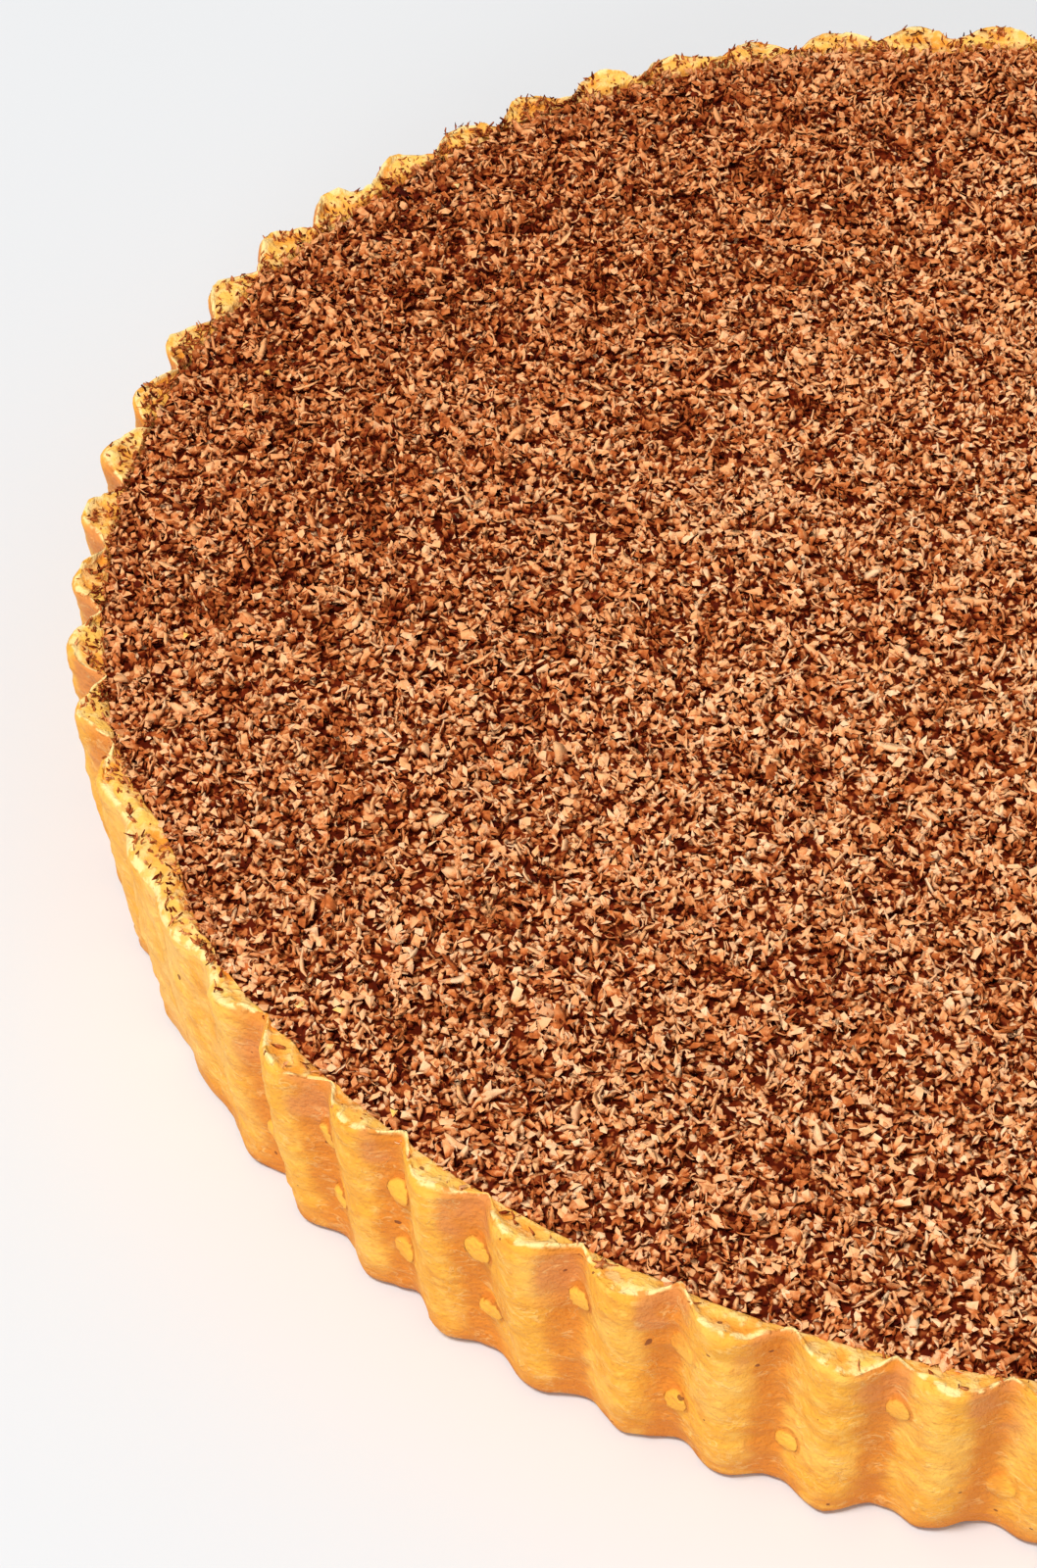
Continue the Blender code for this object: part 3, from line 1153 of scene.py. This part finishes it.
    def build(self) -> Piece:
        """Model the case: sweep its profile round, then press the flutes, marks and crumbs into it.

        Returns:
            The case.
        """
        form = self.form
        stations = self.stations()
        zero = np.array([0.0])
        profile = [tuple(float(value[0]) for value in self.spot(zone, share, zero))
                   for zone, share in stations]
        piece = turn_up("pastry_case_baked", profile, form.flutes * self.columns_per_flute)
        mesh = piece.data
        turned = read_points(mesh)
        flat = np.stack([np.hypot(turned[:, 0], turned[:, 1]), turned[:, 2]], axis=1)
        station = np.argmin(((flat[:, None, :] - np.array(profile)) ** 2).sum(axis=2), axis=1)
        angle = np.arctan2(turned[:, 1], turned[:, 0]) % TURN
        angle = angle + self.gather / form.flutes * np.sin(form.flutes * (angle - form.first_crest))
        radius, height, rim = np.zeros(len(angle)), np.zeros(len(angle)), np.zeros(len(angle))
        for index, (zone, share) in enumerate(stations):
            here = station == index
            radius[here], height[here] = self.spot(zone, share, angle[here])
            rim[here] = self.over_rim(zone, share)
        sagged = form.sag(angle)
        on_wall = ease((height - self.marks_from) / self.marks_fade) * (rim < OFF_RIM)
        push, mark_distance, mark_strength, mark_shaded_side = self.marks(angle, height)
        outwards, crumbs, upwards = self.roughen(around(angle, radius, height), radius, rim, sagged)
        height = height + upwards
        write_points(mesh, around(angle, radius + push * on_wall + outwards, height))
        # The crest value is shifted so that the valley colour falls on the flank turned from the light:
        # painted shade.
        crest = np.abs(np.cos((form.phase(angle) + self.shaded_flank_shift) / 2)) ** self.crest_sharpness
        kept = {"rise": height / form.height,
                "crest": crest + self.sagged_browning * sagged * (0.95 - crest),
                "rim": rim + 0.6 * sagged * (rim > OFF_RIM) * (rim < 0.6),
                # How far the crumbs stand up; the finish paints the low ones darker as painted shade.
                "proud": np.clip(0.5 + crumbs / self.proud_height, 0.0, 1.0),
                "sagged": sagged, "mark_distance": mark_distance,
                "mark_strength": mark_strength * on_wall, "mark_shaded_side": mark_shaded_side}
        for name, values in kept.items():
            paint(mesh, name, values)
        mesh.shade_smooth()
        form.place(mesh)
        return piece


# --- The chocolate ---

@dataclass
class ChocolateBed:
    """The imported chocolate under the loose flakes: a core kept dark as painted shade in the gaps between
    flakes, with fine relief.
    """

    form: TartForm
    grid: int = 300
    sink: float = 0.0010
    edge_sink: float = 0.0004
    edge_width: float = 0.002
    edge_calm: float = 0.6
    relief: Relief = Relief(0.00034, 0.0021, Draw.BED)
    fine_relief: Relief = Relief(0.000306, 0.0010, Draw.FINE_BED)
    gap: float = 0.0002
    # Painted shade: the core's tone is near the darkest, for the shade in the gaps between the flakes.
    tone: float = 0.06

    def build(self) -> Piece:
        """Model the core: a round sheet with relief, its edge extruded down and closed below.

        Returns:
            The core.
        """
        form = self.form
        low = form.height - form.recess_depth + self.gap
        clear_selection()
        bpy.ops.mesh.primitive_grid_add(x_subdivisions=self.grid - 1, y_subdivisions=self.grid - 1, size=2.0,
                                        location=(0.0, 0.0, 0.0))
        piece = bpy.context.object
        piece.name = "chocolate_bed"
        mesh = piece.data
        mesh.name = "chocolate_bed"
        write_points(mesh, self.shape_top(read_points(mesh)))
        bpy.ops.object.mode_set(mode="EDIT")
        bpy.ops.mesh.select_all(action="SELECT")
        bpy.ops.mesh.region_to_loop()
        bpy.ops.mesh.extrude_edges_move(TRANSFORM_OT_translate={"value": (0.0, 0.0, -form.height)})
        bpy.ops.mesh.edge_face_add()
        face_outwards()
        points = read_points(mesh)
        below = points[:, 2] < low
        points[below, :2] *= 1.0 - (form.recess_lean + self.gap) / form.rim_inner
        points[below, 2] = low
        write_points(mesh, points)
        paint(mesh, "tone", np.full(len(points), self.tone))
        mesh.shade_flat()
        form.place(mesh)
        return piece

    def shape_top(self, square: Array) -> Array:
        """Turn a square grid into the round, uneven top.

        Args:
            square: The grid's points, between -1 and 1 both ways.

        Returns:
            The points of the top.
        """
        form = self.form
        x, y = square[:, 0], square[:, 1]
        wide = np.abs(x) > np.abs(y)
        share = np.where(wide, x, y)
        other = np.where(wide, y, x)
        turn = math.pi / 4 * other / np.where(share == 0.0, 1.0, share)
        across = np.where(wide, share * np.cos(turn), share * np.sin(turn))
        along = np.where(wide, share * np.sin(turn), share * np.cos(turn))
        angle = np.arctan2(along, across) % TURN
        share = np.abs(share)
        inner = form.inner_radius(angle)
        radius = share * (inner - self.gap)
        points = around(angle, radius, form.chocolate_top(angle, radius))
        at_edge = ease(1.0 - (inner - radius) / self.edge_width)
        sink = self.sink + (self.edge_sink - self.sink) * at_edge
        uneven = self.relief.at(points) + self.fine_relief.at(points)
        points[:, 2] += uneven * (1.0 - self.edge_calm * at_edge) - sink
        return points


class Ground(Enum):
    """What a kind of loose bit lies on."""

    CHOCOLATE = "chocolate"
    RIM = "rim"
    NEAR_RIM = "near_rim"


@dataclass(frozen=True)
class Cut:
    """How one kind of flake comes off the grater; lengths are in millimetres."""

    name: str
    count: int
    sides: int
    spans: int
    length: tuple[float, float]
    width: tuple[float, float]
    thickness: tuple[float, float]
    bend: tuple[float, float] = (0, 0)
    tilt: float = 30
    upright: float = 0.25
    depths: tuple[float, float] = (-0.9, 0.35)
    tones: tuple[float, float] = (0.28, 1.05)
    variants: int = 24
    ground: Ground = Ground.CHOCOLATE


CUTS: tuple[Cut, ...] = (
    Cut("splinters", 14200, 3, 2, (1.2, 2.2), (0.70, 1.20), (0.28, 0.50), (40, 130), 26, 0.22,
        (-0.7, 0.42), (0.32, 1.05), 40),
    Cut("flecks", 33000, 4, 0, (0.9, 1.6), (0.60, 1.05), (0.25, 0.50), tilt=30, upright=0.28,
        depths=(-0.8, 0.40)),
    Cut("chips", 24900, 5, 0, (1.2, 2.3), (0.75, 1.3), (0.25, 0.50), tilt=26, upright=0.25,
        depths=(-0.8, 0.34)),
    Cut("crumbs", 20000, 3, 0, (0.6, 1.2), (0.45, 0.8), (0.30, 0.70), tilt=60, upright=0.4,
        depths=(-0.7, 0.45), tones=(0.25, 1.0)),
    Cut("slivers", 7600, 3, 4, (1.5, 2.8), (0.55, 1.00), (0.18, 0.30), (40, 190), 28, 0.28,
        (-0.5, 0.45), (0.45, 1.0), 16),
    Cut("shards", 420, 4, 5, (2.4, 4.0), (1.1, 2.0), (0.20, 0.35), (20, 90), 16, 0.12,
        (-0.1, 0.45), (0.55, 0.95), 12),
    Cut("curls", 800, 4, 7, (2.2, 3.8), (0.6, 1.0), (0.18, 0.28), (160, 290), 30, 0.45,
        (-0.3, 0.45), (0.55, 1.0), 12),
    Cut("rim_bits", 1900, 3, 2, (0.6, 1.7), (0.34, 0.66), (0.20, 0.36), (20, 110), 20, 0.12,
        (0.02, 0.20), (0.15, 0.72), ground=Ground.RIM),
)
PASTRY_BITS = Cut("pastry_bits", 18, 5, 0, (0.7, 1.7), (0.6, 1.3), (0.4, 0.8), tilt=30, upright=0.2,
                  depths=(0.10, 0.35), tones=(0.0, 1.0), variants=6, ground=Ground.NEAR_RIM)


class FlakeMaker:
    """Models the few flakes that each kind is copied from."""

    bent_raggedness: float = 0.13
    chip_raggedness: Array = np.array([0.22, 0.22, 0.16])
    greatest_skew: float = 0.35
    greatest_twist: float = 50.0
    greatest_roll: float = 0.6
    blunt_start: tuple[float, float] = (0.20, 0.50)
    thin_end: tuple[float, float] = (0.08, 0.30)
    uneven_width: tuple[float, float] = (0.75, 1.15)
    uneven_bend: tuple[float, float] = (0.6, 1.4)
    sideways: float = 0.22

    def __init__(self, cut: Cut, seed: int) -> None:
        """Set up the maker of one kind of flake, with the seed of its shapes."""
        self.cut = cut
        self.draw = random.Random(seed)

    def model(self) -> tuple[Array, Array]:
        """Model one flake.

        Returns:
            Its points, in metres about its own middle, and its triangles.
        """
        cut, draw = self.cut, self.draw
        length = draw.uniform(*cut.length) * MILLIMETRE
        width = draw.uniform(*cut.width) * MILLIMETRE
        thickness = draw.uniform(*cut.thickness) * MILLIMETRE
        clear_selection()
        if cut.spans:
            piece = self.draw_out(length, width, thickness)
        else:
            piece = self.chip_off(length, width, thickness)
        bpy.ops.mesh.select_all(action="SELECT")
        bpy.ops.mesh.quads_convert_to_tris()
        face_outwards()
        mesh = piece.data
        points = read_points(mesh)
        shift = np.array([[draw.uniform(-1.0, 1.0) for _ in range(3)] for _ in range(len(points))])
        if cut.spans:
            points = points + shift * self.bent_raggedness * min(width, thickness * 2)
        else:
            points = points + shift * self.chip_raggedness * np.array([length, width, thickness])
        triangles = np.array([tuple(face.vertices) for face in mesh.polygons])
        bpy.data.objects.remove(piece)
        bpy.data.meshes.remove(mesh)
        return points - points.mean(axis=0), triangles

    def chip_off(self, length: float, width: float, thickness: float) -> Piece:
        """Model a small angular chip: a low pyramid, stretched, with its tip off the middle.

        Args:
            length: Its length.
            width: Its width.
            thickness: Its height.

        Returns:
            The chip, left in edit mode.
        """
        bpy.ops.mesh.primitive_cone_add(vertices=self.cut.sides, radius1=1.0, depth=1.0, end_fill_type="NGON")
        piece = bpy.context.object
        bpy.ops.object.mode_set(mode="EDIT")
        turn_about(self.draw.uniform(-self.greatest_skew, self.greatest_skew), "Z")
        stretch_about((length / 2, width / 2, thickness))
        return piece

    def draw_out(self, length: float, width: float, thickness: float) -> Piece:
        """Model a sliver or curl by extruding a small outline along a bent path.

        Args:
            length: Its length.
            width: Its greatest width.
            thickness: Its thickness.

        Returns:
            The sliver, left in edit mode.
        """
        cut, draw = self.cut, self.draw
        bend = math.radians(draw.uniform(*cut.bend)) / cut.spans * draw.choice((-1, 1))
        twist = math.radians(draw.uniform(-self.greatest_twist, self.greatest_twist)) / cut.spans
        bpy.ops.mesh.primitive_circle_add(vertices=cut.sides, radius=1.0, fill_type="NGON")
        piece = bpy.context.object
        bpy.ops.object.mode_set(mode="EDIT")
        turn_about(draw.uniform(0.0, self.greatest_roll), "Z")
        turn_about(math.pi / 2, "Y")
        start = draw.uniform(*self.blunt_start)
        stretch_about((MILLIMETRE, width / 2 * start, thickness / 2 * start ** 0.5))
        share_before, pivot, heading = start, np.zeros(3), 0.0
        for span in range(1, cut.spans + 1):
            share = math.sin(math.pi * span / cut.spans) ** 0.6 * draw.uniform(*self.uneven_width)
            share = max(share, draw.uniform(*self.thin_end))
            heading += bend * draw.uniform(*self.uneven_bend)
            sideways = draw.uniform(-self.sideways, self.sideways)
            step = length / cut.spans * np.array([math.cos(heading), sideways, math.sin(heading)])
            pivot = pivot + step
            bpy.ops.mesh.extrude_region_move(TRANSFORM_OT_translate={"value": tuple(step)})
            turn_about(bend, "Y", pivot)
            turn_about(twist, "X", pivot)
            grow = share / share_before
            stretch_about((grow ** 0.5, grow, grow ** 0.5), pivot)
            share_before = share
        return piece


@dataclass
class LooseBits:
    """Loose bits: one joined piece for each kind, scattered over the top or the rim."""

    form: TartForm
    spill: float = 0.0006
    spill_size: float = 0.0032
    crumb_reach: float = 0.012
    gap: float = 0.0005
    dark_patch_size: float = 0.0026
    dark_patch_share: float = 0.42
    dark_patch_ends: tuple[float, float] = (0.28, 0.30)
    # Painted shade in the pile: the depth over which a flake darkens, and the darkest share of its tone that
    # is left.
    shade_depth: float = 0.00068
    darkest: float = 0.03
    dark_share: float = 0.035
    dark_tone: float = 0.45
    usual_paleness: float = 0.08
    shaded_side: float = math.radians(138.0)
    shading: float = 0.27
    bits_from: float = math.radians(80.0)
    bits_to: float = math.radians(214.0)
    bits_share: float = 0.78
    steep_leans: tuple[float, float] = (35.0, 80.0)
    flat_roll: float = 28.0
    edge_width: float = 0.0015
    edge_lift: float = 0.00025
    sizes: tuple[float, float] = (0.75, 1.25)
    unwrap_tilt: float = 0.4
    cell_use: float = 0.8

    def spread(self, cut: Cut, count: int, draw: np.random.Generator) -> tuple[Array, Array, Array]:
        """Choose places for loose bits.

        Args:
            cut: The kind of bit.
            count: How many places.
            draw: The random numbers to use.

        Returns:
            Angles, radii and the heights of what they lie on.
        """
        form = self.form
        angle = draw.uniform(0.0, TURN, count)
        if cut.ground is Ground.RIM:
            thick = draw.uniform(0.0, 1.0, count) < self.bits_share
            angle = np.where(thick, draw.uniform(self.bits_from, self.bits_to, count), angle)
        inner = form.inner_radius(angle)
        share = draw.uniform(0.0, 1.0, count)
        if cut.ground is Ground.RIM:
            lip = form.outer_radius(angle, form.height) - form.lip_inset
            share = share ** 1.6
            height = form.lip_height(angle) - form.soft_fall * (1.0 - share) ** 1.4
            return angle, inner + (lip - inner) * share, height
        if cut.ground is Ground.NEAR_RIM:
            radius = inner - self.gap - self.crumb_reach * share ** 1.5
        else:
            uneven = rough(around(angle, inner, np.zeros(count)), self.spill_size, Draw.SPILL)
            reach = inner + self.spill * (uneven + 0.6 * draw.uniform(-1.0, 1.0, count) - 0.2)
            radius = reach * np.sqrt(share)
        return angle, radius, form.chocolate_top(angle, radius)

    def turns(self, cut: Cut, count: int, draw: np.random.Generator) -> Array:
        """Choose how flakes lie.

        Args:
            cut: The kind of flake.
            count: How many.
            draw: The random numbers to use.

        Returns:
            One 3 by 3 rotation for each flake.
        """
        lean = np.radians(np.abs(draw.normal(0.0, cut.tilt, count)))
        steep = draw.uniform(0.0, 1.0, count) < cut.upright
        lean = np.where(steep, np.radians(draw.uniform(*self.steep_leans, count)), lean)
        any_roll = draw.uniform(0.0, TURN, count)
        roll = np.where(steep, any_roll, np.radians(draw.normal(0.0, self.flat_roll, count)))
        yaw = draw.uniform(0.0, TURN, count)
        zero, one = np.zeros(count), np.ones(count)
        about_z = ((np.cos(yaw), -np.sin(yaw), zero), (np.sin(yaw), np.cos(yaw), zero), (zero, zero, one))
        about_y = ((np.cos(lean), zero, np.sin(lean)), (zero, one, zero), (-np.sin(lean), zero, np.cos(lean)))
        about_x = ((one, zero, zero), (zero, np.cos(roll), -np.sin(roll)), (zero, np.sin(roll), np.cos(roll)))
        about = (np.moveaxis(np.array(rows), 2, 0) for rows in (about_z, about_y, about_x))
        return functools.reduce(np.matmul, about)

    def tones(self, cut: Cut, draw: np.random.Generator, angle: Array, radius: Array, centre: Array) -> Array:
        """Choose how pale each flake is: dark patches, a few dark flakes and a shaded side.

        Args:
            cut: The kind of flake.
            draw: The random numbers to use.
            angle: The flakes' angles.
            radius: Their distances from the middle.
            centre: Their middles.

        Returns:
            One tone for each flake.
        """
        count = len(angle)
        low, high = cut.tones
        tone = draw.triangular(low, 0.5 * (low + high) + self.usual_paleness, high, count)
        start, width = self.dark_patch_ends
        patch = ease((rough(centre, self.dark_patch_size, Draw.DARK_PATCHES) - start) / width)
        tone = tone * (1.0 - self.dark_patch_share * patch)
        tone = np.where(draw.uniform(0.0, 1.0, count) < self.dark_share, self.dark_tone * tone, tone)
        towards = radius / self.form.rim_inner * np.cos(angle - self.shaded_side)
        return tone * (1.0 - self.shading * ease(towards))

    def unwrap(self, shape: Array, made: int, count: int, side: int) -> Array:
        """Give each copy of a flake its own small cell on the unwrapped sheet.

        Args:
            shape: The flake's points.
            made: How many flakes have cells already.
            count: How many copies there are.
            side: How many cells the sheet has each way.

        Returns:
            Each point's place on the sheet.
        """
        flat = np.stack([shape[:, 0], shape[:, 1] + self.unwrap_tilt * shape[:, 2]], axis=1)
        flat = (flat - flat.min(axis=0)) / (np.ptp(flat, axis=0) + 1e-9)
        flat = flat * self.cell_use + (1.0 - self.cell_use) / 2
        index = made + np.arange(count)
        corner = np.stack([index % side, index // side], axis=1)
        return ((corner[:, None, :] + flat[None, :, :]) / side).reshape(-1, 2)

    def scatter(self, cut: Cut, number: int) -> Piece:
        """Copy a kind's flakes over the top and join them into one piece.

        Args:
            cut: The kind of flake.
            number: Its place in the list of kinds, which sets its random numbers.

        Returns:
            The joined piece.
        """
        draw = np.random.default_rng(Draw.FLAKES + number)
        maker = FlakeMaker(cut, Draw.FLAKES + number)
        shapes = [maker.model() for _ in range(cut.variants)]
        count = cut.count // cut.variants
        side = math.ceil(math.sqrt(count * cut.variants))
        points, triangles, tones, cells = [], [], [], []
        filled = 0
        for batch, (shape, faces) in enumerate(shapes):
            angle, radius, ground = self.spread(cut, count, draw)
            depth = draw.uniform(*cut.depths, count) * MILLIMETRE
            if cut.ground is Ground.CHOCOLATE:
                at_edge = ease(1.0 - (self.form.inner_radius(angle) - radius) / self.edge_width)
                depth += at_edge * (np.abs(depth) * 0.6 + self.edge_lift)
            centre = around(angle, radius, ground + depth)
            sized = shape * draw.uniform(*self.sizes, (count, 3))[:, None, :]
            turned = np.einsum("nij,nvj->nvi", self.turns(cut, count, draw), sized)
            points.append((turned + centre[:, None, :]).reshape(-1, 3))
            starts = filled + len(shape) * np.arange(count)
            triangles.append((faces + starts[:, None, None]).reshape(-1, 3))
            tone = self.tones(cut, draw, angle, radius, centre)
            # Painted shade: each point of a flake is darker the deeper it lies in the pile.
            light = ease((depth[:, None] + turned[:, :, 2]) / self.shade_depth + 1.0)
            tones.append((tone[:, None] * (self.darkest + (1.0 - self.darkest) * light)).ravel())
            cells.append(self.unwrap(shape, batch * count, count, side))
            filled += len(shape) * count
        return self.join(cut, *map(np.concatenate, (points, triangles, tones, cells)))

    def join(self, cut: Cut, points: Array, triangles: Array, tones: Array, cells: Array) -> Piece:
        """Make one mesh from all the flakes of a kind; bent flakes are smooth and chips are crisp.

        Args:
            cut: The kind of flake.
            points: Every flake's points.
            triangles: Every flake's triangles.
            tones: One tone for each point, darkened deep in the pile as painted shade.
            cells: Each point's place on the unwrapped sheet, one small cell to a flake.

        Returns:
            The piece.
        """
        mesh = bpy.data.meshes.new(cut.name)
        mesh.vertices.add(len(points))
        mesh.vertices.foreach_set("co", points.ravel())
        mesh.loops.add(triangles.size)
        mesh.loops.foreach_set("vertex_index", triangles.ravel().astype(np.int32))
        mesh.polygons.add(len(triangles))
        mesh.polygons.foreach_set("loop_start", np.arange(0, triangles.size, 3, dtype=np.int32))
        mesh.update(calc_edges=True)
        sheet = mesh.uv_layers.new(name="OFBake")
        sheet.data.foreach_set("uv", cells[triangles.ravel()].ravel())
        paint(mesh, "tone", tones)
        if not cut.spans:
            mesh.shade_flat()
        mesh.validate()
        self.form.place(mesh)
        piece = bpy.data.objects.new(cut.name, mesh)
        bpy.context.collection.objects.link(piece)
        return piece

    def build(self, chocolate: Finish, pastry: Finish) -> None:
        """Make and dress every kind of loose bit; all stand for the solid with the core.

        Args:
            chocolate: The finish of the flakes.
            pastry: The finish of the few crumbs of pastry.
        """
        for number, cut in enumerate((*CUTS, PASTRY_BITS)):
            finish, slot = (pastry, "pastry") if cut is PASTRY_BITS else (chocolate, "chocolate")
            dress(self.scatter(cut, number), finish, "grated_chocolate")


# --- The studio ---

@dataclass(frozen=True)
class Studio:
    """A pale floor, soft light and the camera."""

    rim_radius: float = 0.125
    elevation: float = math.radians(44.69)
    distance: float = 4.285
    aim: tuple[float, float] = (-0.5535, -0.0454)
    roll: float = math.radians(2.44)
    lens: float = 94.66
    floor_size: float = 6.0
    floor_colour: Colour = (0.705, 0.715, 0.725, 1.0)
    sky: float = 0.45
    key_power: float = 121.0
    key_place: tuple[float, float, float] = (-1.22, -1.24, 3.50)
    key_size: float = 0.70
    fill_power: float = 20.0
    fill_place: tuple[float, float, float] = (-0.65, -2.55, 0.98)
    fill_size: float = 0.90

    def set_camera(self) -> None:
        """Put the camera above the front, looking down at the tart's left half."""
        data = bpy.data.cameras.new("camera")
        data.lens = self.lens
        camera = bpy.data.objects.new("camera", data)
        bpy.context.collection.objects.link(camera)
        back = np.array([0.0, -math.cos(self.elevation), math.sin(self.elevation)])
        place = self.rim_radius * (np.array([*self.aim, 0.0]) + self.distance * back)
        nod = Matrix.Rotation(math.pi / 2 - self.elevation, 4, "X")
        camera.matrix_world = Matrix.Translation(place) @ nod @ Matrix.Rotation(self.roll, 4, "Z")
        bpy.context.scene.camera = camera

    def add_light(self, name: str, place: tuple[float, float, float], size: float, power: float) -> None:
        """Add one soft square light that faces the tart.

        Args:
            name: Its name.
            place: Where it hangs.
            size: Its width.
            power: Its strength in watts.
        """
        data = bpy.data.lights.new(name, "AREA")
        data.size = size
        data.energy = power
        light = bpy.data.objects.new(name, data)
        light.location = place
        light.rotation_euler = (-light.location).to_track_quat("-Z", "Y").to_euler()
        bpy.context.collection.objects.link(light)

    def build(self) -> None:
        """Lay the floor, hang the lights and set the camera."""
        clear_selection()
        bpy.ops.mesh.primitive_plane_add(size=self.floor_size, location=(0.0, 0.0, -0.00005))
        floor = bpy.context.object
        floor.name = "floor"
        paper = Finish("floor_paper", {}, 0.9, 0.1)
        weave = paper.recipe.noise(400.0).outputs["Fac"]
        paper.close(self.floor_colour, paper.recipe.press(weave, 0.0002, 0.05))
        floor.data.materials.append(paper.material)
        world = bpy.data.worlds.new("soft_sky")
        bpy.context.scene.world = world
        world.use_nodes = True
        backdrop = world.node_tree.nodes["Background"]
        backdrop.inputs["Color"].default_value = (1.0, 1.0, 1.0, 1.0)
        backdrop.inputs["Strength"].default_value = self.sky
        self.add_light("key", self.key_place, self.key_size, self.key_power)
        self.add_light("fill", self.fill_place, self.fill_size, self.fill_power)
        self.set_camera()
        bpy.context.scene.view_settings.view_transform = "Standard"


# --- Putting it together ---


def main() -> None:
    """Build the tart, dress it and light it."""
    logging.basicConfig(level=logging.INFO, format="%(name)s %(message)s")
    form = TartForm()
    effects = {"soft_patches": make_patches_effect(), "fine_crumb": make_grain_effect()}
    pastry = PastryLook().make(effects)
    look = ChocolateLook()
    effects["chocolate_tones"] = look.make_tones_effect()
    dress(PastryCase(form).build(), pastry, "pastry_case")
    dress(ChocolateBed(form).build(), look.make_packed(effects), "grated_chocolate")
    LooseBits(form).build(look.make_loose(effects), PastryLook().make_crumb(effects))
    Studio().build()


if __name__ == "__main__":
    main()
